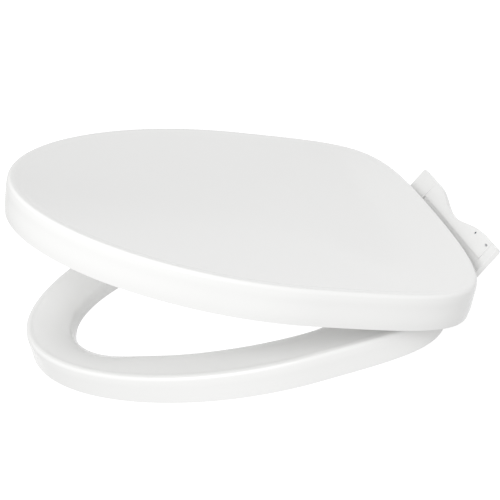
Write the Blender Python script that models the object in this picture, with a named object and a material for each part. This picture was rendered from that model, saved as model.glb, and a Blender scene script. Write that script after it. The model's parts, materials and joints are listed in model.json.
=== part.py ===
"""A slim electric bidet seat: a wrap-over lid, a heated seat ring, and a flat hinge base that holds the
nozzle drive, the water heater and the electronics.

Frame: +Z is up and -Y is the front. The origin is on the deck of the toilet bowl, straight below the hinge
axis, in the middle of the seat. The model stands with the ring and the lid part open.
"""
import math

import bmesh
import bpy
from mathutils import Matrix, Vector

MM = 0.001

# Driving dimensions
RING_LIFT = 10.0 * MM  # deck to the underside of the closed ring, the height of the seat bumpers
AXIS_OVER_RING = 22.5 * MM  # underside of the closed ring to the hinge axis
AXIS_Z = RING_LIFT + AXIS_OVER_RING
SEAT_OPEN = math.radians(38.0)  # the ring above the deck in the modelled pose
LID_OPEN = math.radians(21.3)  # the lid above the ring in the modelled pose
GAP = 0.3 * MM  # between pieces that touch

# Plan outlines, measured from the hinge axis: reach to the front, half width, how far in front of the axis
# the outline is widest, and where its rear middle is. The four pulls are Bezier handle lengths.
RING = dict(reach=401.3 * MM, half=180.6 * MM, widest=158.6 * MM, rear=-15.7 * MM,
            pulls=(0.52, 0.51, 0.82, 1.03))
HOLE = dict(reach=357.8 * MM, half=121.9 * MM, widest=154.8 * MM, rear=-72.5 * MM,
            pulls=(0.70, 0.36, 0.59, 0.60))
LID = dict(reach=405.2 * MM, half=190.8 * MM, widest=158.6 * MM, rear=11.6 * MM,
           pulls=(0.52, 0.51, 0.88, 1.00))
STEPS = 12  # stations on each quarter of an outline
FRONT_STATION = STEPS // 2
REAR_STATION = STEPS + 4

# Hinge base
BASE_TOP = 16.5 * MM
TROUGH_FLOOR = 15.0 * MM  # the lid's rear edge swings through this shallow trough
PLATE_UNDERSIDE = 11.5 * MM
POCKET_CEILING = 13.4 * MM
BODY_HALF = 86.0 * MM
BODY_FRONT = -106.0 * MM
BODY_BACK = -14.0 * MM
WALL = 2.0 * MM
SHELL_CEILING = 14.3 * MM
END_HALF = 100.0 * MM
REAR_EDGE = 34.5 * MM
SADDLE_DEPTH = 10.0 * MM
SADDLE_MIDDLE = 4.0 * MM
SADDLE_HALF = 60.0 * MM
LEFT_SEAM = -62.0 * MM
RIGHT_SEAM = 88.0 * MM
SEAM_RELIEF = 0.9 * MM
TROUGH_BACK = 16.0 * MM
PLATE_TOP = 2.5 * MM
TRAY_FLOOR = PLATE_TOP + GAP
TRAY_INSIDE = 4.8 * MM
TRAY_TOP = 13.1 * MM
WING_UNDERSIDE = 11.6 * MM
BOLT_X = 70.0 * MM  # half of the usual 140 mm between the bolts of a toilet seat
LENS_XY = (55.0 * MM, 29.5 * MM)
KEY_XY = (82.0 * MM, 29.2 * MM)

# Inside the base
FLOOR_Z = TRAY_INSIDE + GAP  # what stands on the tray
PIPE_Z = 9.2 * MM  # the line of the water pipes and of the cable
INLET_Y = -60.0 * MM
GLAND_Y = -34.0 * MM
RELEASE_Y = -60.0 * MM

# Hinge line
BARREL = 6.3 * MM
SHAFT = 3.0 * MM
SHAFT_HOLE = 3.4 * MM

# Nozzle drive
NOZZLE_Z = (6.9 * MM, 13.9 * MM)
NOZZLE_HALF = 4.0 * MM
NOZZLE_TAIL = -20.0 * MM
NOZZLE_HEAD = -98.0 * MM
GEAR_MODULE = 1.0 * MM
GEAR_TEETH = 14
GEAR_Y = -78.0 * MM
PITCH_LINE = 5.2 * MM  # the rack's pitch line, to the right of the middle
BACKLASH = 0.5 * MM
PRESSURE = math.radians(20.0)

WHITE = (0.86, 0.86, 0.85)
GREY = (0.45, 0.46, 0.48)
DARK = (0.08, 0.08, 0.09)
STEEL = (0.62, 0.62, 0.63)
COPPER = (0.75, 0.45, 0.12)
SMOKED = (0.02, 0.05, 0.08)


# Objects and materials

def clear_scene():
    for item in list(bpy.data.objects):
        bpy.data.objects.remove(item, do_unlink=True)


def material(name, colour, roughness, metallic=0.0):
    made = bpy.data.materials.new(name)
    made.use_nodes = True
    shader = made.node_tree.nodes["Principled BSDF"]
    shader.inputs["Base Color"].default_value = (*colour, 1.0)
    shader.inputs["Roughness"].default_value = roughness
    shader.inputs["Metallic"].default_value = metallic
    return made


def add(name, bm, parent, colour, roughness=0.4, metallic=0.0):
    """Make an object from a bmesh, with faces out and round sides smooth."""
    bmesh.ops.recalc_face_normals(bm, faces=bm.faces)
    mesh = bpy.data.meshes.new(name)
    bm.to_mesh(mesh)
    bm.free()
    mesh.shade_smooth()
    mesh.set_sharp_from_angle(angle=math.radians(40))
    mesh.materials.append(material(name, colour, roughness, metallic))
    made = bpy.data.objects.new(name, mesh)
    bpy.context.scene.collection.objects.link(made)
    made.parent = parent
    return made


def pivot(name, place, tilt=0.0, parent=None):
    """An empty on a joint's axis, tilted so that the front goes up."""
    made = bpy.data.objects.new(name, None)
    bpy.context.scene.collection.objects.link(made)
    made.location = place
    made.rotation_euler = (-tilt, 0.0, 0.0)
    made.parent = parent
    return made


def combine(target, operation, tools):
    """Cut solids from another or join them on; each tool is a guide and not a piece."""
    for name, bm in tools.items():
        guide = add("guide_" + name, bm, target.parent, WHITE)
        guide.location = target.location
        guide.hide_render = True
        guide.display_type = "WIRE"
        step = target.modifiers.new(guide.name, "BOOLEAN")
        step.operation = operation
        step.solver = "EXACT"
        step.object = guide


def cut(target, **tools):
    combine(target, "DIFFERENCE", tools)


def join(target, **tools):
    combine(target, "UNION", tools)


# Shapes

def prism(points, low, high):
    """A plan outline raised from low to high."""
    bm = bmesh.new()
    bottom = [bm.verts.new((x, y, low)) for x, y in points]
    top = [bm.verts.new((x, y, high)) for x, y in points]
    bm.faces.new(bottom)
    bm.faces.new(top)
    for i in range(len(points)):
        j = (i + 1) % len(points)
        bm.faces.new((bottom[i], bottom[j], top[j], top[i]))
    return bm


def block(x, y, z):
    return prism([(x[0], y[0]), (x[1], y[0]), (x[1], y[1]), (x[0], y[1])], z[0], z[1])


def rounded(x, y, radius, steps=4):
    """The plan outline of a rectangle with round corners."""
    corners = [(x[1] - radius, y[0] + radius, -90), (x[1] - radius, y[1] - radius, 0),
               (x[0] + radius, y[1] - radius, 90), (x[0] + radius, y[0] + radius, 180)]
    points = []
    for cx, cy, start in corners:
        for i in range(steps + 1):
            angle = math.radians(start + 90 * i / steps)
            points.append((cx + radius * math.cos(angle), cy + radius * math.sin(angle)))
    return points


def around(centre, half_x, half_y, radius):
    """The plan outline of a rectangle with round corners, given by its middle."""
    return rounded((centre[0] - half_x, centre[0] + half_x), (centre[1] - half_y, centre[1] + half_y), radius)


def lathe(profile, axis, place=(0.0, 0.0, 0.0), sides=20):
    """Turn (radius, distance) points round an axis; the profile is a closed ring unless it meets the axis."""
    turn = {"X": Matrix.Rotation(math.radians(90), 4, "Y"),
            "Y": Matrix.Rotation(math.radians(-90), 4, "X"),
            "Z": Matrix.Identity(4)}[axis]
    move = Matrix.Translation(place) @ turn
    bm = bmesh.new()
    rings = []
    for radius, along in profile:
        if radius == 0.0:
            rings.append([bm.verts.new(move @ Vector((0.0, 0.0, along)))])
            continue
        ring = []
        for i in range(sides):
            angle = 2 * math.pi * i / sides
            spot = Vector((radius * math.cos(angle), radius * math.sin(angle), along))
            ring.append(bm.verts.new(move @ spot))
        rings.append(ring)
    solid = profile[0][0] == 0.0
    last = len(rings) - 1 if solid else len(rings)
    for n in range(last):
        here, there = rings[n], rings[(n + 1) % len(rings)]
        for i in range(sides):
            j = (i + 1) % sides
            corners = [here[i % len(here)], here[j % len(here)], there[j % len(there)], there[i % len(there)]]
            bm.faces.new(list(dict.fromkeys(corners)))
    return bm


def rod(radius, ends, axis, place=(0.0, 0.0, 0.0), sides=20):
    return lathe([(0.0, ends[0]), (radius, ends[0]), (radius, ends[1]), (0.0, ends[1])], axis, place, sides)


def tube(inner, outer, ends, axis, place=(0.0, 0.0, 0.0), sides=20):
    return lathe([(inner, ends[0]), (outer, ends[0]), (outer, ends[1]), (inner, ends[1])], axis, place, sides)


def bezier(p0, p1, p2, p3, t):
    u = 1.0 - t
    return tuple(u**3 * a + 3 * u * u * t * b + 3 * u * t * t * c + t**3 * d
                 for a, b, c, d in zip(p0, p1, p2, p3))


def grow(shape, by):
    """The same outline, larger all round."""
    return dict(shape, reach=shape["reach"] + by, half=shape["half"] + by, rear=shape["rear"] + by)


def outline(shape):
    """Plan points from the front tip round the right side to the rear middle, and back round the left."""
    reach, half, widest, rear = shape["reach"], shape["half"], shape["widest"], shape["rear"]
    k1, k2, k3, k4 = shape["pulls"]
    front = [(0, -reach), (k1 * half, -reach), (half, -widest - k2 * (reach - widest)), (half, -widest)]
    back = [(half, -widest), (half, -widest + k3 * (widest + rear)), (k4 * half, rear), (0, rear)]
    right = [bezier(*front, i / STEPS) for i in range(STEPS)]
    right += [bezier(*back, i / STEPS) for i in range(STEPS + 1)]
    left = [(-x, y) for x, y in right[-2:0:-1]]
    return right + left


def four_stations():
    """Where the four bumpers of the ring or of the lid sit along an outline."""
    return dict(front_right=FRONT_STATION, rear_right=REAR_STATION, rear_left=4 * STEPS - REAR_STATION,
                front_left=4 * STEPS - FRONT_STATION)


def between(first, second, share):
    """The outline a given share of the way from one to the other."""
    return [(a[0] + share * (b[0] - a[0]), a[1] + share * (b[1] - a[1]))
            for a, b in zip(outline(first), outline(second))]


def smooth(value, low, high):
    t = min(max((value - low) / (high - low), 0.0), 1.0)
    return t * t * (3.0 - 2.0 * t)


def loft(loops, closed, centres=()):
    """Skin a list of loops. A closed skin goes back to the first loop; an open one closes on its centres."""
    bm = bmesh.new()
    rings = [[bm.verts.new(p) for p in loop] for loop in loops]
    count = len(rings[0])
    for n in range(len(rings) if closed else len(rings) - 1):
        here, there = rings[n], rings[(n + 1) % len(rings)]
        for i in range(count):
            j = (i + 1) % count
            bm.faces.new((here[i], here[j], there[j], there[i]))
    for ring, centre in zip((rings[0], rings[-1]), centres):
        tip = bm.verts.new(centre)
        for i in range(count):
            bm.faces.new((ring[i], ring[(i + 1) % count], tip))
    return bm


def from_axis(points, height):
    """Points over the closed ring's underside, seen from the hinge axis; height is a function or a value."""
    found = []
    for x, y in points:
        z = height(x, y) if callable(height) else height
        found.append((x, y, z - AXIS_OVER_RING))
    return found


# Seat ring

def ring_bottom(x, y):
    """The ring's lower edge: flat, and arched at the back so that it clears the hinge base."""
    over_base = 1.0 - smooth(abs(x), 98.0 * MM, 116.0 * MM)
    at_back = smooth(y, -146.0 * MM, -128.0 * MM)
    return 8.0 * MM * over_base * at_back


def seat_upper_shell(parent):
    outer = [(0.0, None), (0.0, 12.0), (0.1, 20.5), (0.6, 23.6), (1.8, 25.1), (3.8, 25.6)]
    inner = [(5.0, 16.4), (1.2, 13.2), (0.0, 9.8), (0.0, None)]
    under_inner = [(2.4, None), (2.4, 11.6), (6.4, 14.0)]
    under_outer = [(7.2, 22.5), (3.6, 21.4), (2.5, 17.0), (2.4, None)]

    def loops(shape, side, rows):
        for by, z in rows:
            height = ring_bottom if z is None else z * MM
            yield from_axis(outline(grow(shape, side * by * MM)), height)

    def crown(rows):
        for share, z in rows:
            yield from_axis(between(RING, HOLE, share), z * MM)

    skin = [*loops(RING, -1, outer), *crown([(0.30, 23.9), (0.50, 21.9), (0.70, 19.4)]),
            *loops(HOLE, 1, inner), *loops(HOLE, 1, under_inner), *crown([(0.65, 17.8), (0.35, 21.2)]),
            *loops(RING, -1, under_outer)]
    add("seat_upper_shell", loft(skin, True), parent, WHITE, 0.18)


def seat_lower_shell(parent):
    """The plate that closes the ring from below and follows its arch over the hinge base."""
    thickness = 2.2 * MM
    outer, inner = grow(RING, -3.0 * MM), grow(HOLE, 3.0 * MM)
    plans = [between(outer, inner, share) for share in (0.0, 0.25, 0.5, 0.75, 1.0)]
    low = [from_axis(plan, lambda x, y: ring_bottom(x, y) + GAP) for plan in plans]
    high = [from_axis(plan, lambda x, y: ring_bottom(x, y) + GAP + thickness) for plan in plans]
    add("seat_lower_shell", loft(low + high[::-1], True), parent, WHITE, 0.3)


def seat_heater(parent):
    """A thin foil band under the crown of the ring, and the thermostat beside the opening."""
    outside = between(RING, HOLE, 0.28)
    inside = between(RING, HOLE, 0.70)
    skin = [from_axis(outside, 20.2 * MM), from_axis(inside, 15.8 * MM), from_axis(inside, 16.4 * MM),
            from_axis(outside, 20.8 * MM)]
    add("seat_heater", loft(skin, True), parent, COPPER, 0.5)
    x, y = between(RING, HOLE, 0.5)[STEPS]
    heights = (11 * MM - AXIS_OVER_RING, 14.5 * MM - AXIS_OVER_RING)
    sensor = block((x - 6 * MM, x + 6 * MM), (y - 9 * MM, y + 9 * MM), heights)
    add("seat_thermostat", sensor, parent, DARK, 0.5)


def seat_bumpers(parent):
    middle = between(RING, HOLE, 0.5)
    profile = [(0.0, -RING_LIFT), (7.0 * MM, -RING_LIFT), (8.5 * MM, -RING_LIFT + 2 * MM), (8.5 * MM, 0.0),
               (0.0, 0.0)]
    for name, station in four_stations().items():
        x, y = middle[station]
        add("seat_bumper_" + name, lathe(profile, "Z", (x, y, -AXIS_OVER_RING)), parent, GREY, 0.7)


def seat_hinges(parent):
    """Two lugs from the ring's rear wall to the hinge axis."""
    for side, ends in (("left", (-71 * MM, -61 * MM)), ("right", (61 * MM, 71 * MM))):
        lug = add("seat_hinge_" + side, rod(BARREL, ends, "X"), parent, WHITE, 0.3)
        join(lug, web=block(ends, (RING["rear"] + GAP, 0.0), (-5.5 * MM, 2.0 * MM)))
        cut(lug, bore=rod(SHAFT_HOLE, (ends[0] - MM, ends[1] + MM), "X"))


# Lid

def lid_bottom(x, y):
    """The lid's lower edge: a deep skirt, cut up to a short lip at the back where the hinge is."""
    over_hinge = 1.0 - smooth(abs(x), 104.0 * MM, 124.0 * MM)
    at_back = smooth(y, -60.0 * MM, -30.0 * MM)
    return (1.4 + 27.4 * over_hinge * at_back) * MM


def dish_depth(y):
    """How far the middle of the lid lies under its rim: less at the back, over the ring and the hinge."""
    return 17.0 * MM * (1.0 - 0.45 * smooth(y, -110.0 * MM, -40.0 * MM))


def lid_shell(parent):
    """Rows are the inset from the outline and the height over the closed ring's underside, in millimetres."""
    skirt = [(0.7, 1.4), (0.0, 8.0), (0.0, 20.0), (0.1, 29.5), (0.7, 32.4), (2.2, 34.0), (4.4, 34.2)]
    lining = [(2.8, 1.4), (2.8, 8.0), (2.8, 20.0), (3.0, 28.0), (3.6, 30.2), (5.2, 31.1), (7.0, 31.0)]
    middle_y = -190.0 * MM

    def wall(table):
        """From the lower edge up; every row stays above the rear lip's edge."""
        for n, (inset, z) in enumerate(table):
            def height(x, y, n=n, z=z):
                return max(z * MM, lid_bottom(x, y) + n * 0.3 * MM)
            yield from_axis(outline(grow(LID, -inset * MM)), height)

    def dish(inset, rim):
        """From the rim in to the middle of the bowl."""
        for share in (0.93, 0.84, 0.72, 0.56, 0.38, 0.2):
            edge = outline(grow(LID, -inset * MM))
            plan = [(share * x, middle_y + share * (y - middle_y)) for x, y in edge]
            yield from_axis(plan, lambda x, y, share=share: rim * MM - dish_depth(y) * (1.0 - share**2))

    outside = [*wall(skirt), *dish(4.4, 34.2)]
    inside = [*wall(lining), *dish(7.0, 31.0)]
    lowest = dish_depth(middle_y) + AXIS_OVER_RING
    tips = [(0.0, middle_y, 34.2 * MM - lowest), (0.0, middle_y, 31.0 * MM - lowest)]
    add("lid_shell", loft(outside[::-1] + inside, False, tips), parent, WHITE, 0.12)


def lid_bumpers(parent):
    """Each bumper fills the height between the ring's crown and the lid's underside."""
    line = between(RING, HOLE, 0.32)
    crown = 24.5 * MM
    for name, station in four_stations().items():
        x, y = line[station]
        underside = (26.6 if name.startswith("front") else 25.8) * MM
        profile = [(0.0, crown), (4.5 * MM, crown), (5.5 * MM, crown + 0.7 * MM), (5.5 * MM, underside),
                   (0.0, underside)]
        add("lid_bumper_" + name, lathe(profile, "Z", (x, y, -AXIS_OVER_RING), 16), parent, GREY, 0.7)


def lid_hinges(parent):
    """Two lugs that hang from the lid to the hinge axis."""
    for side, ends in (("left", (-82 * MM, -72 * MM)), ("right", (72 * MM, 82 * MM))):
        lug = add("lid_hinge_" + side, rod(BARREL, ends, "X"), parent, WHITE, 0.3)
        join(lug, web=block(ends, (-5.5 * MM, 3.0 * MM), (0.0, 6.9 * MM)))
        cut(lug, bore=rod(SHAFT_HOLE, (ends[0] - MM, ends[1] + MM), "X"))


# Hinge base

def rear_edge(x):
    """The base's rear edge dips towards the hinge in the middle, between two lobes."""
    t = min(abs(x - SADDLE_MIDDLE) / SADDLE_HALF, 1.0)
    return REAR_EDGE - SADDLE_DEPTH * 0.5 * (1.0 + math.cos(math.pi * t))


def rear_plate(left, right, front, inset=0.0, steps=24):
    """Plan outline of the rear plate between two sides, with its saddle-shaped rear edge."""
    xs = [right - (right - left) * i / steps for i in range(steps + 1)]
    return [(left, front), (right, front)] + [(x, rear_edge(x) - inset) for x in xs]


def end_plate(inner, outer, front, inset=0.0):
    """Plan outline of an end piece: a small radius on its rear outer corner, and a seam wider at the front."""
    sign = 1.0 if outer > inner else -1.0
    radius = 3.0 * MM
    outer -= sign * inset
    rear = REAR_EDGE - inset
    arc = [(outer - sign * radius * (1 - math.sin(a)), rear - radius * (1 - math.cos(a)))
           for a in [math.radians(90 - 90 * i / 4) for i in range(5)]]
    relieved = inner + sign * SEAM_RELIEF
    return [(relieved, front), (outer, front), *arc, (inner, rear), (inner, 25 * MM), (relieved, 17 * MM)]


def base_cover():
    """The hollow housing, with the rear plate between the two end pieces."""
    plan = rounded((-BODY_HALF, BODY_HALF), (BODY_FRONT, BODY_BACK), 6 * MM)
    cover = add("base_cover", prism(plan, TRAY_FLOOR, BASE_TOP), None, WHITE, 0.2)
    plate = rear_plate(LEFT_SEAM, RIGHT_SEAM - GAP, BODY_BACK - 8 * MM)
    join(cover, plate=prism(plate, PLATE_UNDERSIDE, BASE_TOP))
    seams = (LEFT_SEAM - MM, RIGHT_SEAM + MM)
    left_wall = (-BODY_HALF - MM, -BODY_HALF + WALL + MM)
    right_wall = (BODY_HALF - WALL - MM, BODY_HALF + MM)
    front_wall = (BODY_FRONT - MM, BODY_FRONT + WALL + MM)
    key_hole = around(KEY_XY, 2.4 * MM, 0.9 * MM, 0.8 * MM)
    cut(cover,
        cavity=block((-BODY_HALF + WALL, BODY_HALF - WALL), (BODY_FRONT + WALL, BODY_BACK + WALL),
                     (0.0, SHELL_CEILING)),
        pocket=prism(rear_plate(*seams, BODY_BACK - WALL, WALL), 0.0, POCKET_CEILING),
        trough=block(seams, (BODY_BACK - WALL, TROUGH_BACK), (TROUGH_FLOOR, BASE_TOP + MM)),
        nozzle_port=block((-8.5 * MM, 8.5 * MM), front_wall, (0.0, SHELL_CEILING)),
        inlet_port=rod(4.6 * MM, left_wall, "X", (0.0, INLET_Y, PIPE_Z)),
        gland_port=rod(4.4 * MM, left_wall, "X", (0.0, GLAND_Y, PIPE_Z)),
        release_port=block(right_wall, (RELEASE_Y - 10.5 * MM, RELEASE_Y + 10.5 * MM), (6 * MM, 13 * MM)),
        lens_hole=rod(1.2 * MM, (POCKET_CEILING - MM, BASE_TOP + MM), "Z", (*LENS_XY, 0.0), 16),
        key_hole=prism(key_hole, POCKET_CEILING - MM, BASE_TOP + MM))


def hinge_covers():
    """The two end pieces of the base, level with its top."""
    front = BODY_BACK + 3 * MM
    for side, inner, outer in (("left", LEFT_SEAM - GAP, -END_HALF), ("right", RIGHT_SEAM, END_HALF)):
        plan = end_plate(inner, outer, front)
        piece = add("hinge_cover_" + side, prism(plan, PLATE_UNDERSIDE, BASE_TOP), None, WHITE, 0.2)
        past_seam = inner - math.copysign(5 * MM, outer)
        hollow = end_plate(past_seam, outer, front - 5 * MM, WALL)
        cut(piece, hollow=prism(hollow, PLATE_UNDERSIDE - MM, POCKET_CEILING))


def base_tray():
    """The tray that closes the housing from below, with a wing under the rear plate."""
    half = BODY_HALF - WALL - GAP
    front = BODY_FRONT + WALL + GAP
    back = BODY_BACK - WALL
    wall = 1.8 * MM
    body = block((-half, half), (front, back), (TRAY_FLOOR, TRAY_TOP))
    tray = add("base_tray", body, None, (0.7, 0.7, 0.7), 0.4)
    wing_half = END_HALF - WALL - MM
    wing = [(-wing_half, back + 6 * MM), (wing_half, back + 6 * MM)]
    wing += [(x, rear_edge(x) - WALL - MM) for x in (wing_half * (1 - i / 16) for i in range(33))]
    join(tray,
         wing=prism(wing, WING_UNDERSIDE, TRAY_TOP),
         neck=block((-58 * MM, 58 * MM), (back - MM, back + 8 * MM), (WING_UNDERSIDE, TRAY_TOP)))
    above = (TRAY_INSIDE, 20 * MM)
    left_wall = (-half - MM, -half + 4 * MM)
    right_wall = (half - 4 * MM, half + MM)
    cut(tray,
        inside=block((-half + wall, half - wall), (front + wall, back - wall), above),
        nozzle_way=block((-8.5 * MM, 8.5 * MM), (front - MM, front + 4 * MM), above),
        inlet_way=block(left_wall, (INLET_Y - 6 * MM, INLET_Y + 6 * MM), above),
        gland_way=block(left_wall, (GLAND_Y - 5 * MM, GLAND_Y + 5 * MM), above),
        release_way=block(right_wall, (RELEASE_Y - 11 * MM, RELEASE_Y + 11 * MM), above))


def mounting_plate():
    """The plate that stays on the bowl, with two slots for the bolts and a spring tab at the back."""
    plan = rounded((-80 * MM, 80 * MM), (-100 * MM, -20 * MM), 8 * MM)
    plate = add("mounting_plate", prism(plan, 0.0, PLATE_TOP), None, STEEL, 0.35, 1.0)
    join(plate, tab=prism(rounded((-20 * MM, 20 * MM), (-30 * MM, 8 * MM), 4 * MM), 0.0, PLATE_TOP))
    for x in (-BOLT_X, BOLT_X):
        slot = around((x, -37 * MM), 4.3 * MM, 11 * MM, 4.2 * MM)
        cut(plate, slot=prism(slot, -MM, PLATE_TOP + MM))


def buttons():
    """The release button on the right side, and the lens and the mode button on the rear plate."""
    release = prism(around((0.0, 0.0), 4.5 * MM, 10 * MM, 1.2 * MM), -3.1 * MM, 3.1 * MM)
    made = add("release_button", release, None, GREY, 0.35)
    made.location = (84 * MM, RELEASE_Y, 9.5 * MM)
    key = prism(around((0.0, 0.0), 2.0 * MM, 0.55 * MM, 0.5 * MM), -1.3 * MM, 1.3 * MM)
    made = add("mode_button", key, None, DARK, 0.3)
    made.location = (*KEY_XY, 15.4 * MM)
    lens = [(0.0, 13.8 * MM), (0.9 * MM, 13.8 * MM), (0.9 * MM, 16.5 * MM), (0.6 * MM, 16.7 * MM),
            (0.0, 16.8 * MM)]
    add("status_lens", lathe(lens, "Z", (*LENS_XY, 0.0), 16), None, SMOKED, 0.1)


# Hinge line on the base

def hinge_bracket():
    """A foot screwed to the trough, with three eyes on the hinge axis."""
    foot = block((-60 * MM, 60 * MM), (-14.5 * MM, -4.5 * MM), (TROUGH_FLOOR + GAP, 18.4 * MM))
    bracket = add("hinge_bracket", foot, None, STEEL, 0.35, 1.0)
    for ends in ((-60 * MM, -54 * MM), (-6 * MM, 6 * MM), (54 * MM, 60 * MM)):
        join(bracket, stem=block(ends, (-11.5 * MM, -5.5 * MM), (17 * MM, AXIS_Z)),
             eye=rod(BARREL, ends, "X", (0.0, 0.0, AXIS_Z)))
    cut(bracket, bores=rod(SHAFT_HOLE, (-70 * MM, 70 * MM), "X", (0.0, 0.0, AXIS_Z)))
    head = [(0.0, 18.7 * MM), (3.2 * MM, 18.7 * MM), (3.2 * MM, 19.9 * MM), (2.2 * MM, 20.7 * MM),
            (0.0, 20.7 * MM)]
    for number, x in enumerate((-45, -20, 20, 45), 1):
        place = (x * MM, -9.5 * MM, 0.0)
        add(f"bracket_screw_{number}", lathe(head, "Z", place, 16), None, STEEL, 0.3, 1.0)


def dampers(seat, lid):
    """Each soft-close damper hangs between two eyes of the bracket; its shaft turns with the ring or lid."""
    body = [(0.0, 6.4), (5.9, 6.4), (6.2, 7.4), (6.2, 51.5), (5.2, 53.0), (0.0, 53.0)]
    shaft = [(0.0, 53.4), (3.0, 53.4), (3.0, 82.6), (5.4, 82.6), (5.4, 84.2), (4.4, 85.4), (0.0, 85.4)]
    for name, side, driven in (("seat", -MM, seat), ("lid", MM, lid)):
        can = lathe([(r * MM, d * side) for r, d in body], "X", (0.0, 0.0, AXIS_Z))
        add(name + "_damper", can, None, WHITE, 0.45)
        pin = lathe([(r * MM, d * side) for r, d in shaft], "X")
        add(name + "_damper_shaft", pin, driven, STEEL, 0.25, 1.0)


# Nozzle drive

def rack_outline():
    """The wand's plan: a straight bar with a toothed right side."""
    pitch = math.pi * GEAR_MODULE
    tip, root = 0.8 * GEAR_MODULE, -1.1 * GEAR_MODULE
    half = pitch / 4 - BACKLASH / 2
    left = [(-NOZZLE_HALF, NOZZLE_TAIL), (-NOZZLE_HALF, NOZZLE_HEAD), (PITCH_LINE + root, NOZZLE_HEAD)]
    teeth = []
    count = int((NOZZLE_TAIL - NOZZLE_HEAD) / pitch) - 1
    before = int((GEAR_Y - NOZZLE_HEAD) / pitch - 0.5)
    for n in range(count):
        middle = GEAR_Y + (n - before + 0.5) * pitch
        wide = half - root * math.tan(PRESSURE)
        narrow = half - tip * math.tan(PRESSURE)
        teeth += [(PITCH_LINE + root, middle - wide), (PITCH_LINE + tip, middle - narrow),
                  (PITCH_LINE + tip, middle + narrow), (PITCH_LINE + root, middle + wide)]
    return left + teeth + [(PITCH_LINE + root, NOZZLE_TAIL)]


def gear_outline():
    """Involute teeth with backlash; one tooth points at the rack."""
    pitch_radius = GEAR_MODULE * GEAR_TEETH / 2
    base = pitch_radius * math.cos(PRESSURE)

    def half_angle(radius):
        tilt = math.acos(min(base / radius, 1.0))
        at_pitch = math.pi / (2 * GEAR_TEETH) - BACKLASH / (2 * pitch_radius)
        return at_pitch + (math.tan(PRESSURE) - PRESSURE) - (math.tan(tilt) - tilt)

    flank = [pitch_radius - 1.15 * GEAR_MODULE, base + 0.05 * MM, pitch_radius,
             pitch_radius + 0.8 * GEAR_MODULE]
    points = []
    for tooth in range(GEAR_TEETH):
        middle = math.pi + 2 * math.pi * tooth / GEAR_TEETH
        rising = [(r, middle - half_angle(r)) for r in flank]
        falling = [(r, middle + half_angle(r)) for r in reversed(flank)]
        points += [(r * math.cos(a), r * math.sin(a)) for r, a in rising + falling]
    return points


def nozzle():
    """The wand with its rack, and the tip; both have their origin in the middle of the wand."""
    middle = (NOZZLE_TAIL + NOZZLE_HEAD) / 2
    face = NOZZLE_HEAD - GAP - middle
    low, high = NOZZLE_Z
    rack = [(x, y - middle) for x, y in rack_outline()]
    wand = add("nozzle_wand", prism(rack, (low - high) / 2, (high - low) / 2), None, WHITE, 0.3)
    profile = [(0.0, 0.0), (3.5 * MM, 0.0), (3.5 * MM, -3.6 * MM), (2.6 * MM, -4.8 * MM), (0.0, -5.2 * MM)]
    tip = add("nozzle_tip", lathe(profile, "Y", (0.0, face, 0.0)), None, STEEL, 0.2, 1.0)
    for piece in (wand, tip):
        piece.location = (0.0, middle, (low + high) / 2)
    for y in (-1.6 * MM, -3.2 * MM):
        cut(tip, jet=rod(0.45 * MM, (2.0 * MM, 5.0 * MM), "Z", (0.0, face + y, 0.0), 8))


def nozzle_drive():
    """The pinion beside the rack, its motor below, and the channel that guides the wand."""
    centre = PITCH_LINE + GEAR_MODULE * GEAR_TEETH / 2
    gear = add("drive_gear", prism(gear_outline(), -2 * MM, 2 * MM), None, (0.85, 0.83, 0.75), 0.4)
    gear.location = (centre, GEAR_Y, 11.6 * MM)
    cut(gear, bore=rod(1.8 * MM, (-3 * MM, 3 * MM), "Z", sides=16))
    motor = [(0.0, FLOOR_Z), (5.4 * MM, FLOOR_Z), (5.4 * MM, 9.0 * MM), (1.4 * MM, 9.0 * MM),
             (1.4 * MM, 13.9 * MM), (0.0, 13.9 * MM)]
    add("nozzle_motor", lathe(motor, "Z", (centre, GEAR_Y, 0.0)), None, STEEL, 0.35, 1.0)
    channel = block((-7.4 * MM, 4.6 * MM), (-101 * MM, -18.2 * MM), (FLOOR_Z, 13.6 * MM))
    guide = add("nozzle_guide", channel, None, GREY, 0.4)
    cut(guide, way=block((-4.5 * MM, 8 * MM), (-104 * MM, -16 * MM), (6.4 * MM, 16 * MM)))


# Water and electrics

def water_parts():
    """The water goes in on the left, through the valve and the heater, to the back of the nozzle."""
    valve_box = block((-76 * MM, -54 * MM), (-70 * MM, -50 * MM), (FLOOR_Z, 12.6 * MM))
    valve = add("solenoid_valve", valve_box, None, WHITE, 0.4)
    join(valve, coil=rod(3.9 * MM, (-50.5 * MM, -34 * MM), "Y", (-65 * MM, 0.0, PIPE_Z)))
    tank = prism(rounded((-50 * MM, -12 * MM), (-98 * MM, -56 * MM), 4 * MM), FLOOR_Z, 13.8 * MM)
    heater = add("water_heater", tank, None, STEEL, 0.3, 1.0)
    join(heater, port=rod(3.0 * MM, (-53 * MM, -48 * MM), "X", (0.0, -84 * MM, PIPE_Z), 16))
    feed = [(-65, -71), (-65, -76), (-64, -81), (-60.5, -84), (-54, -84)]
    outlet = [(-16, -54.9), (-16, -48), (-14.5, -44), (-11.5, -41.5), (-8, -41)]
    for name, route, radius in (("feed_tube", feed, 2.4 * MM), ("nozzle_hose", outlet, 2.0 * MM)):
        line = [Vector((x * MM, y * MM, PIPE_Z)) for x, y in route]
        add(name, pipe(line, radius), None, (0.8, 0.85, 0.9), 0.3)
    inlet = tube(2.4 * MM, 4.2 * MM, (-90 * MM, -77 * MM), "X", (0.0, INLET_Y, PIPE_Z))
    add("inlet_connector", inlet, None, (0.72, 0.55, 0.25), 0.3, 1.0)
    seal = tube(4.7 * MM, 6.0 * MM, (-88.2 * MM, -86.3 * MM), "X", (0.0, INLET_Y, PIPE_Z))
    add("inlet_gasket", seal, None, DARK, 0.8)


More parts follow.
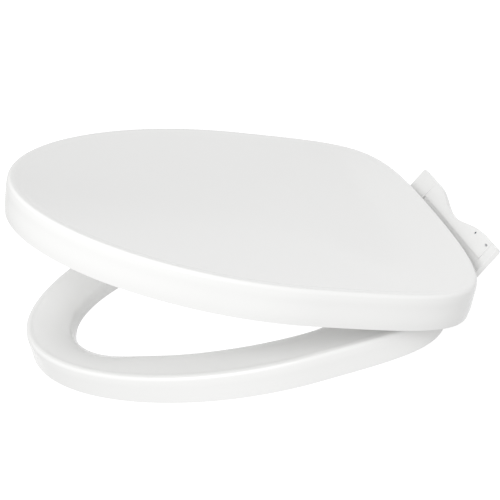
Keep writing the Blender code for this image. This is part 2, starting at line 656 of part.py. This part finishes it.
def pipe(route, radius, sides=12):
    """A bent round bar with flat ends, lying in one level plane."""
    bm = bmesh.new()
    rings = []
    for n, point in enumerate(route):
        ahead = route[min(n + 1, len(route) - 1)] - route[max(n - 1, 0)]
        across = Vector((-ahead.y, ahead.x, 0.0)).normalized()
        up = Vector((0.0, 0.0, 1.0))
        turns = [2 * math.pi * i / sides for i in range(sides)]
        rings.append([bm.verts.new(point + radius * (math.cos(a) * across + math.sin(a) * up))
                      for a in turns])
    for here, there in zip(rings, rings[1:]):
        for i in range(sides):
            j = (i + 1) % sides
            bm.faces.new((here[i], here[j], there[j], there[i]))
    bm.faces.new(rings[0])
    bm.faces.new(rings[-1])
    return bm


def electric_parts():
    board = block((24 * MM, 75 * MM), (-99 * MM, -30 * MM), (5.3 * MM, 6.9 * MM))
    add("control_board", board, None, (0.02, 0.20, 0.08), 0.5)
    on_board = 7.2 * MM
    windings = block((30 * MM, 56 * MM), (-58 * MM, -34 * MM), (on_board, 13.8 * MM))
    transformer = add("transformer", windings, None, (0.8, 0.65, 0.1), 0.5)
    join(transformer, core=block((35 * MM, 51 * MM), (-61 * MM, -31 * MM), (on_board, 12.8 * MM)))
    relay = prism(rounded((30 * MM, 48 * MM), (-90 * MM, -72 * MM), MM), on_board, 13.2 * MM)
    add("heater_relay", relay, None, (0.05, 0.15, 0.4), 0.4)
    gland = [(2.6, -91.0), (4.6, -91.0), (5.6, -88.6), (5.6, -86.3), (4.0, -86.3), (4.0, -80.0), (2.6, -80.0)]
    gland = lathe([(r * MM, d * MM) for r, d in gland], "X", (0.0, GLAND_Y, PIPE_Z))
    add("cable_gland", gland, None, GREY, 0.5)


def main():
    clear_scene()
    seat = pivot("seat_axis", (0.0, 0.0, AXIS_Z), SEAT_OPEN)
    lid = pivot("lid_axis", (0.0, 0.0, 0.0), LID_OPEN, seat)
    base_cover()
    hinge_covers()
    base_tray()
    mounting_plate()
    buttons()
    hinge_bracket()
    dampers(seat, lid)
    nozzle()
    nozzle_drive()
    water_parts()
    electric_parts()
    seat_upper_shell(seat)
    seat_lower_shell(seat)
    seat_heater(seat)
    seat_bumpers(seat)
    seat_hinges(seat)
    lid_shell(lid)
    lid_bumpers(lid)
    lid_hinges(lid)


main()
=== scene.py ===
"""Visual model of a slim electric bidet seat with its ring and its lid part open.

The lid, the ring and the ring's bottom plate are made here as smooth moulded shells, on the sizes of the
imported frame. The other pieces are the frame's own nodes, with softened edges and a finish of their own.
"""
import json
import math

import bmesh
import bpy
import numpy as np
from mathutils import Matrix, Vector


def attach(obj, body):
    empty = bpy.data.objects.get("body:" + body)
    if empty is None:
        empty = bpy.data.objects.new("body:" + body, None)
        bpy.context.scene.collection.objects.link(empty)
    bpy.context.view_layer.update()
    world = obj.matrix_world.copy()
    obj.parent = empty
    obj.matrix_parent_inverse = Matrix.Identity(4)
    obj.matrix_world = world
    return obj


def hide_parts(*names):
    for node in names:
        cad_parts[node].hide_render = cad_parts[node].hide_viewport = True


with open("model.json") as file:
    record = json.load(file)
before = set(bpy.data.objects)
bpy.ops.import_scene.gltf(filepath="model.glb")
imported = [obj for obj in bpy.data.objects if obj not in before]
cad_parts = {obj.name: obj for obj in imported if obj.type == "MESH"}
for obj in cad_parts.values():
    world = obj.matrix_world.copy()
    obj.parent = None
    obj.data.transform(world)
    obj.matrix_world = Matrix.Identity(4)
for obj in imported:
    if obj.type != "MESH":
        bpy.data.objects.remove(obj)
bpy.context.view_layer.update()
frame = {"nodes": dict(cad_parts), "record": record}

MM = 0.001

# Sizes that the frame was made to
AXIS_Z = 32.5 * MM  # the hinge axis above the deck
AXIS_OVER_RING = 22.5 * MM  # the hinge axis above the underside of the closed ring
RING_OPEN = math.radians(38.0)
LID_OPEN = math.radians(59.3)
RING = dict(reach=401.3 * MM, half=180.6 * MM, widest=158.6 * MM, rear=-15.7 * MM,
            pulls=(0.52, 0.51, 0.82, 1.03))
HOLE = dict(reach=357.8 * MM, half=121.9 * MM, widest=154.8 * MM, rear=-72.5 * MM,
            pulls=(0.70, 0.36, 0.59, 0.60))
LID = dict(reach=405.2 * MM, half=190.8 * MM, widest=158.6 * MM, rear=11.6 * MM,
           pulls=(0.52, 0.51, 0.88, 1.00))
BOWL_DEPTH = 17.0 * MM
BOWL_MIDDLE = (0.0, -190.0 * MM)
FRONT_ROLL = 6.0 * MM  # how much deeper the seat rolls into its opening at the front
STEPS = 64  # stations on each quarter of an outline
ROWS = 5  # rows between two given rows of a section
SHARP = math.radians(38.0)  # an edge that turns more than this stays crisp

# Studio
FLOOR_RADIUS = 12.0
WALL_RADIUS = 11.9
WALL_HEIGHT = 24.0  # half of it stands above the floor
ROOM_LIGHT = 0.67
KEY_PLACE = (1.65, 0.20, 2.12)
KEY_AIM = (0.0, -0.15, 0.15)
KEY_SIZE = 2.0
KEY_WATTS = 38.0


# Camera, floor and light

def camera():
    """The photograph's viewing angle: from the right side and a little behind, turned on its side."""
    azimuth, elevation, roll = math.radians(103.78), math.radians(24.72), math.radians(-54.96)
    target = Vector((-0.0032, -0.1246, 0.1554))
    back = Vector((math.sin(azimuth) * math.cos(elevation), -math.cos(azimuth) * math.cos(elevation),
                   math.sin(elevation)))
    right = Vector((math.cos(azimuth), math.sin(azimuth), 0.0))
    up = back.cross(right)
    turned_right = right * math.cos(roll) + up * math.sin(roll)
    turned_up = up * math.cos(roll) - right * math.sin(roll)
    data = bpy.data.cameras.new("photo_view")
    data.lens = 83.16
    made = bpy.data.objects.new("photo_view", data)
    made.matrix_world = Matrix.Translation(target + 1.119 * back) @ Matrix(
        (turned_right, turned_up, back)).transposed().to_4x4()
    bpy.context.scene.collection.objects.link(made)
    bpy.context.scene.camera = made


def area_light(name, place, aim, size, watts):
    data = bpy.data.lights.new(name, "AREA")
    data.shape = "DISK"
    data.size = size
    data.energy = watts
    made = bpy.data.objects.new(name, data)
    made.location = place
    made.rotation_euler = (Vector(place) - Vector(aim)).to_track_quat("Z", "Y").to_euler()
    bpy.context.scene.collection.objects.link(made)


def studio():
    """A white room, one wide lamp above and to the right, and a near-white floor and wall."""
    scene = bpy.context.scene
    scene.view_settings.view_transform = "Standard"
    scene.world = white_room(ROOM_LIGHT)
    area_light("key", KEY_PLACE, KEY_AIM, KEY_SIZE, KEY_WATTS)
    floor()
    wall()


def floor():
    bm = bmesh.new()
    bmesh.ops.create_circle(bm, cap_ends=True, radius=FLOOR_RADIUS, segments=64)
    made = mesh_object("floor", bm, "stage_white")
    made.location.z = -1.0 * MM
    made.visible_diffuse = False


def wall():
    """A white wall round the stage, seen behind the object in low views; it throws no light or shadow."""
    bm = bmesh.new()
    bmesh.ops.create_cone(bm, cap_ends=False, radius1=WALL_RADIUS, radius2=WALL_RADIUS, depth=WALL_HEIGHT,
                          segments=64)
    made = mesh_object("wall", bm, "stage_white")
    made.visible_diffuse = False
    made.visible_glossy = False
    made.visible_shadow = False


def white_room(strength):
    world = bpy.data.worlds.new("studio")
    world.use_nodes = True
    background = world.node_tree.nodes["Background"]
    background.inputs["Color"].default_value = (1.0, 1.0, 1.0, 1.0)
    background.inputs["Strength"].default_value = strength
    return world


# Materials

def shader_of(made):
    return made.node_tree.nodes["Principled BSDF"]


def texture(made, kind, scale, stretch=(1.0, 1.0, 1.0), **settings):
    """A noise texture on the piece's own coordinates, in metres."""
    nodes, links = made.node_tree.nodes, made.node_tree.links
    place = nodes.new("ShaderNodeTexCoord")
    mapping = nodes.new("ShaderNodeMapping")
    mapping.inputs["Scale"].default_value = stretch
    node = nodes.new(kind)
    node.inputs["Scale"].default_value = scale
    for name, value in settings.items():
        node.inputs[name].default_value = value
    links.new(place.outputs["Object"], mapping.inputs["Vector"])
    links.new(mapping.outputs["Vector"], node.inputs["Vector"])
    return node


def spread(made, source, low, high):
    """Map a texture's value to a range."""
    node = made.node_tree.nodes.new("ShaderNodeMapRange")
    node.inputs["From Min"].default_value = 0.3
    node.inputs["From Max"].default_value = 0.7
    node.inputs["To Min"].default_value = low
    node.inputs["To Max"].default_value = high
    made.node_tree.links.new(source, node.inputs["Value"])
    return node.outputs["Result"]


def tint(made, source, first, second):
    """Vary the colour between two close ones."""
    node = made.node_tree.nodes.new("ShaderNodeValToRGB")
    node.color_ramp.elements[0].position = 0.35
    node.color_ramp.elements[0].color = (*first, 1.0)
    node.color_ramp.elements[1].position = 0.65
    node.color_ramp.elements[1].color = (*second, 1.0)
    made.node_tree.links.new(source, node.inputs["Fac"])
    made.node_tree.links.new(node.outputs["Color"], shader_of(made).inputs["Base Color"])


def bump(made, source, depth):
    node = made.node_tree.nodes.new("ShaderNodeBump")
    node.inputs["Strength"].default_value = 1.0
    node.inputs["Distance"].default_value = depth
    made.node_tree.links.new(source, node.inputs["Height"])
    made.node_tree.links.new(node.outputs["Normal"], shader_of(made).inputs["Normal"])


def finish(name, colour, roughness, change=0.03, metallic=0.0, grain=900.0, depth=0.02 * MM,
           stretch=(1, 1, 1)):
    """A moulded or machined surface: slow colour change, fine grain in the roughness and in the relief."""
    made = bpy.data.materials.new(name)
    made.use_nodes = True
    shader = shader_of(made)
    shader.inputs["Metallic"].default_value = metallic
    slow = texture(made, "ShaderNodeTexNoise", 9.0, Detail=3.0)
    darker = tuple(max(c - change * max(colour), 0.0) for c in colour)
    tint(made, slow.outputs["Fac"], darker, colour)
    fine = texture(made, "ShaderNodeTexNoise", grain, stretch, Detail=4.0)
    made.node_tree.links.new(spread(made, fine.outputs["Fac"], roughness * 0.85, roughness * 1.15),
                             shader.inputs["Roughness"])
    bump(made, fine.outputs["Fac"], depth)
    return made


def white_gloss():
    """Moulded plastic with a satin gloss and the faint ripple of a large moulding."""
    made = finish("white_gloss", (0.885, 0.885, 0.882), 0.52, change=0.012, grain=260.0, depth=0.006 * MM)
    shader = shader_of(made)
    shader.inputs["IOR"].default_value = 1.49
    shader.inputs["Coat Weight"].default_value = 0.12
    shader.inputs["Coat Roughness"].default_value = 0.35
    return made


def circuit_board():
    """Green solder mask over a grid of copper tracks."""
    made = finish("circuit_board", (0.02, 0.20, 0.08), 0.3, change=0.2)
    tracks = texture(made, "ShaderNodeTexBrick", 180.0)
    tracks.inputs["Color1"].default_value = (0.02, 0.20, 0.08, 1.0)
    tracks.inputs["Color2"].default_value = (0.015, 0.16, 0.06, 1.0)
    tracks.inputs["Mortar"].default_value = (0.05, 0.32, 0.14, 1.0)
    tracks.inputs["Mortar Size"].default_value = 0.06
    made.node_tree.links.new(tracks.outputs["Color"], shader_of(made).inputs["Base Color"])
    return made


def clear_tube():
    made = finish("clear_tube", (0.80, 0.86, 0.90), 0.2, change=0.05)
    shader_of(made).inputs["Transmission Weight"].default_value = 0.6
    return made


def stage_white():
    made = finish("stage_white", (0.3, 0.3, 0.3), 0.9, change=0.01, grain=40.0)
    shader = shader_of(made)
    shader.inputs["Emission Color"].default_value = (1.0, 1.0, 1.0, 1.0)
    shader.inputs["Emission Strength"].default_value = 0.86
    return made


def rubber():
    return finish("rubber", (0.50, 0.50, 0.50), 0.75, change=0.12, grain=1500.0, depth=0.05 * MM)


MATERIALS = {
    "white_gloss": white_gloss,
    "white_matte": lambda: finish("white_matte", (0.80, 0.80, 0.79), 0.38, depth=0.02 * MM),
    "grey_plastic": lambda: finish("grey_plastic", (0.45, 0.46, 0.48), 0.4, change=0.06),
    "dark_plastic": lambda: finish("dark_plastic", (0.05, 0.05, 0.055), 0.45, change=0.3),
    "gear_plastic": lambda: finish("gear_plastic", (0.85, 0.83, 0.75), 0.35, change=0.04),
    "blue_plastic": lambda: finish("blue_plastic", (0.05, 0.15, 0.40), 0.3, change=0.2),
    "yellow_tape": lambda: finish("yellow_tape", (0.80, 0.65, 0.10), 0.4, change=0.15, stretch=(1, 12, 1)),
    "dark_lens": lambda: finish("dark_lens", (0.02, 0.05, 0.08), 0.08, change=0.4),
    "heater_foil": lambda: finish("heater_foil", (0.75, 0.45, 0.12), 0.35, change=0.2, metallic=0.9),
    "steel": lambda: finish("steel", (0.62, 0.62, 0.63), 0.32, change=0.08, metallic=1.0, stretch=(1, 25, 1)),
    "polished_steel": lambda: finish("polished_steel", (0.80, 0.80, 0.80), 0.12, metallic=1.0),
    "brass": lambda: finish("brass", (0.72, 0.55, 0.25), 0.25, change=0.1, metallic=1.0, stretch=(12, 1, 1)),
    "circuit_board": circuit_board,
    "clear_tube": clear_tube,
    "stage_white": stage_white,
    "rubber": rubber,
}


def material(slot):
    return bpy.data.materials.get(slot) or MATERIALS[slot]()


# Meshes

def mesh_object(name, bm, slot):
    bmesh.ops.recalc_face_normals(bm, faces=bm.faces)
    mesh = bpy.data.meshes.new(name)
    bm.to_mesh(mesh)
    bm.free()
    mesh.shade_smooth()
    mesh.set_sharp_from_angle(angle=SHARP)
    mesh.materials.append(material(slot))
    made = bpy.data.objects.new(name, mesh)
    bpy.context.scene.collection.objects.link(made)
    return made


def piece(name, bm, slot, body, *nodes):
    """A finished piece that rides on a body and stands for some of the frame's nodes."""
    made = mesh_object(name, bm, slot)
    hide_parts(*nodes)
    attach(made, body)
    return made


def bezier(p0, p1, p2, p3, t):
    u = 1.0 - t
    return tuple(u**3 * a + 3 * u * u * t * b + 3 * u * t * t * c + t**3 * d
                 for a, b, c, d in zip(p0, p1, p2, p3))


def outline(shape, inset=0.0):
    """Plan points from the front tip round the right side to the rear middle, and back round the left."""
    reach, half, rear = shape["reach"] - inset, shape["half"] - inset, shape["rear"] - inset
    widest = shape["widest"]
    k1, k2, k3, k4 = shape["pulls"]
    front = [(0, -reach), (k1 * half, -reach), (half, -widest - k2 * (reach - widest)), (half, -widest)]
    back = [(half, -widest), (half, -widest + k3 * (widest + rear)), (k4 * half, rear), (0, rear)]
    right = [bezier(*front, i / STEPS) for i in range(STEPS)]
    right += [bezier(*back, i / STEPS) for i in range(STEPS + 1)]
    left = [(-x, y) for x, y in right[-2:0:-1]]
    return np.array(right + left)


def smooth(value, low, high):
    t = np.clip((value - low) / (high - low), 0.0, 1.0)
    return t * t * (3.0 - 2.0 * t)


def raised(plan, height):
    """Plan points with a height for each, in metres."""
    return np.column_stack([plan, np.broadcast_to(height, len(plan))])


def curve_through(rows):
    """More rows between the given ones, on a smooth curve through them at each station."""
    rows = np.array(rows)
    padded = np.concatenate([rows[:1], rows, rows[-1:]])
    made = []
    for n in range(len(rows) - 1):
        before, here, there, after = padded[n:n + 4]
        step = np.linalg.norm(there - here, axis=1, keepdims=True)
        leave = tangent(before, here, there) * step
        arrive = tangent(here, there, after) * step
        for i in range(ROWS):
            t = i / ROWS
            made.append((2 * t**3 - 3 * t**2 + 1) * here + (t**3 - 2 * t**2 + t) * leave
                        + (3 * t**2 - 2 * t**3) * there + (t**3 - t**2) * arrive)
    return [*made, rows[-1]]


def tangent(before, here, after):
    """The direction of the curve at a row, leaning to the nearer neighbour."""
    first, second = here - before, after - here
    a = np.linalg.norm(first, axis=1, keepdims=True)
    b = np.linalg.norm(second, axis=1, keepdims=True)
    a = np.where(a < 1e-9, b, a)
    b = np.where(b < 1e-9, a, b)
    return (first / a * b + second / b * a) / (a + b)


def opened(rows, angle):
    """Turn rows given over the closed ring's underside about the hinge axis, front up."""
    made = []
    c, s = math.cos(angle), math.sin(angle)
    for row in rows:
        y, z = row[:, 1], row[:, 2] - AXIS_OVER_RING
        made.append(np.column_stack([row[:, 0], y * c + z * s, AXIS_Z - y * s + z * c]))
    return made


def skin(rows, closed):
    """Faces between rows: closed joins the last row to the first, otherwise both ends close to a point."""
    bm = bmesh.new()
    rings = [[bm.verts.new(p) for p in row] for row in rows]
    count = len(rings[0])
    for n in range(len(rings) if closed else len(rings) - 1):
        here, there = rings[n], rings[(n + 1) % len(rings)]
        for i in range(count):
            j = (i + 1) % count
            bm.faces.new((here[i], here[j], there[j], there[i]))
    if not closed:
        for ring in (rings[0], rings[-1]):
            tip = bm.verts.new(sum((v.co for v in ring), Vector()) / count)
            for i in range(count):
                bm.faces.new((ring[i], ring[(i + 1) % count], tip))
    return bm


# Seat ring

def ring_bottom(plan):
    """The ring's lower edge: flat, and arched at the back so that it clears the hinge base."""
    over_base = 1.0 - smooth(np.abs(plan[:, 0]), 98.0 * MM, 116.0 * MM)
    return 8.0 * MM * over_base * smooth(plan[:, 1], -146.0 * MM, -128.0 * MM)


def front_roll(plan, share):
    """How much lower the seating surface is at the front, where it rolls deeper into the opening."""
    return FRONT_ROLL * share**3 * smooth(-plan[:, 1], 290.0 * MM, 345.0 * MM)


def ring_row(edge, value, height):
    """A row inset from the ring's edge, at a share of its width, or outset from its opening."""
    share = {"outer": 0.0, "opening": 1.0}.get(edge, value)
    if edge == "outer":
        plan = outline(RING, value * MM)
    elif edge == "opening":
        plan = outline(HOLE, -value * MM)
    else:
        plan = outline(RING) * (1.0 - value) + outline(HOLE) * value
    return raised(plan, ring_bottom(plan) if height is None else height * MM - front_roll(plan, share))


def ring_rows(table):
    return [ring_row(*entry) for entry in table]


def seat_ring():
    """The ring's upper shell: the outside from its outer lower edge inward, then the lining back out."""
    outside = ring_rows([
        ("outer", 0.0, None), ("outer", 0.0, 12.0), ("outer", 0.1, 20.5), ("outer", 0.6, 23.6),
        ("outer", 1.8, 25.1), ("outer", 3.8, 25.5), ("share", 0.17, 24.7), ("share", 0.30, 23.7),
        ("share", 0.50, 22.0), ("share", 0.70, 20.0), ("share", 0.84, 18.0), ("share", 0.93, 16.0),
        ("opening", 1.0, 13.2), ("opening", 0.0, 9.8), ("opening", 0.0, None)])
    lining = ring_rows([
        ("opening", 2.4, None), ("opening", 2.4, 10.8), ("opening", 6.4, 13.6),
        ("share", 0.65, 17.8), ("share", 0.35, 21.2), ("outer", 7.2, 22.5),
        ("outer", 3.6, 21.4), ("outer", 2.5, 17.0), ("outer", 2.4, None)])
    rows = curve_through(outside) + lining
    piece("ring_top", skin(opened(rows, RING_OPEN), True), "white_gloss", "seat", "seat_upper_shell")


def seat_bottom():
    """The plate that closes the ring from below and follows its arch over the hinge base."""
    outer, inner = outline(RING, 3.0 * MM), outline(HOLE, -3.0 * MM)
    plans = [outer + (inner - outer) * share for share in np.linspace(0.0, 1.0, 9)]
    low = [raised(plan, ring_bottom(plan) + 0.3 * MM) for plan in plans]
    high = [raised(plan, ring_bottom(plan) + 2.5 * MM) for plan in plans]
    piece("ring_bottom", skin(opened(low + high[::-1], RING_OPEN), True), "white_matte", "seat",
          "seat_lower_shell")


# Lid

def lid_bottom(plan):
    """The lid's lower edge: a deep skirt, cut up to a short lip at the back where the hinge is."""
    over_hinge = 1.0 - smooth(np.abs(plan[:, 0]), 104.0 * MM, 124.0 * MM)
    return (1.4 + 27.4 * over_hinge * smooth(plan[:, 1], -60.0 * MM, -30.0 * MM)) * MM


def lid_wall(table):
    """Rows from the lower edge up; every row stays above the rear lip's edge."""
    made = []
    for n, (inset, z) in enumerate(table):
        plan = outline(LID, inset * MM)
        made.append(raised(plan, np.maximum(z * MM, lid_bottom(plan) + n * 0.3 * MM)))
    return made


def lid_dish(inset, rim):
    """Rows from the rim in to the middle of the bowl, which is shallower over the ring and the hinge."""
    edge = outline(LID, inset * MM)
    middle = np.array(BOWL_MIDDLE)
    made = []
    for share in (0.965, 0.93, 0.885, 0.84, 0.78, 0.72, 0.64, 0.56, 0.47, 0.38, 0.29, 0.2, 0.1, 0.03):
        plan = middle + share * (edge - middle)
        depth = BOWL_DEPTH * (1.0 - 0.45 * smooth(plan[:, 1], -110.0 * MM, -40.0 * MM))
        made.append(raised(plan, rim * MM - depth * (1.0 - share**2)))
    return made


def lid():
    """The lid: insets and heights of its skirt outside and inside, each carried on by the bowl."""
    skirt = [(0.7, 1.4), (0.0, 8.0), (0.0, 20.0), (0.1, 29.5), (0.7, 32.4), (2.2, 34.0), (4.4, 34.2)]
    lining = [(2.8, 1.4), (2.8, 8.0), (2.8, 20.0), (3.0, 28.0), (3.6, 30.2), (5.2, 31.1), (7.0, 31.0)]
    outside = lid_wall(skirt) + lid_dish(4.4, 34.2)
    inside = lid_wall(lining) + lid_dish(7.0, 31.0)
    rows = curve_through(outside)[::-1] + curve_through(inside)
    piece("lid", skin(opened(rows, LID_OPEN), False), "white_gloss", "lid", "lid_shell")


# The frame's own nodes

def finish_frame_nodes():
    """Every node that is still shown gets its slot's material and softened edges."""
    slots = {entry["node"]: entry["material_slot"] for entry in frame["record"]["subparts"]}
    for name, node in frame["nodes"].items():
        if node.hide_render:
            continue
        node.data.materials.clear()
        node.data.materials.append(material(slots[name]))
        node.data.shade_smooth()
        node.data.set_sharp_from_angle(angle=SHARP)
        weld = node.modifiers.new("weld", "WELD")
        weld.merge_threshold = 0.002 * MM
        edges = node.modifiers.new("edges", "BEVEL")
        edges.width = 0.35 * MM
        edges.segments = 2
        edges.limit_method = "ANGLE"
        edges.angle_limit = SHARP
        edges.use_clamp_overlap = True
        node.modifiers.new("normals", "WEIGHTED_NORMAL").keep_sharp = True


camera()
studio()
seat_ring()
seat_bottom()
lid()
finish_frame_nodes()
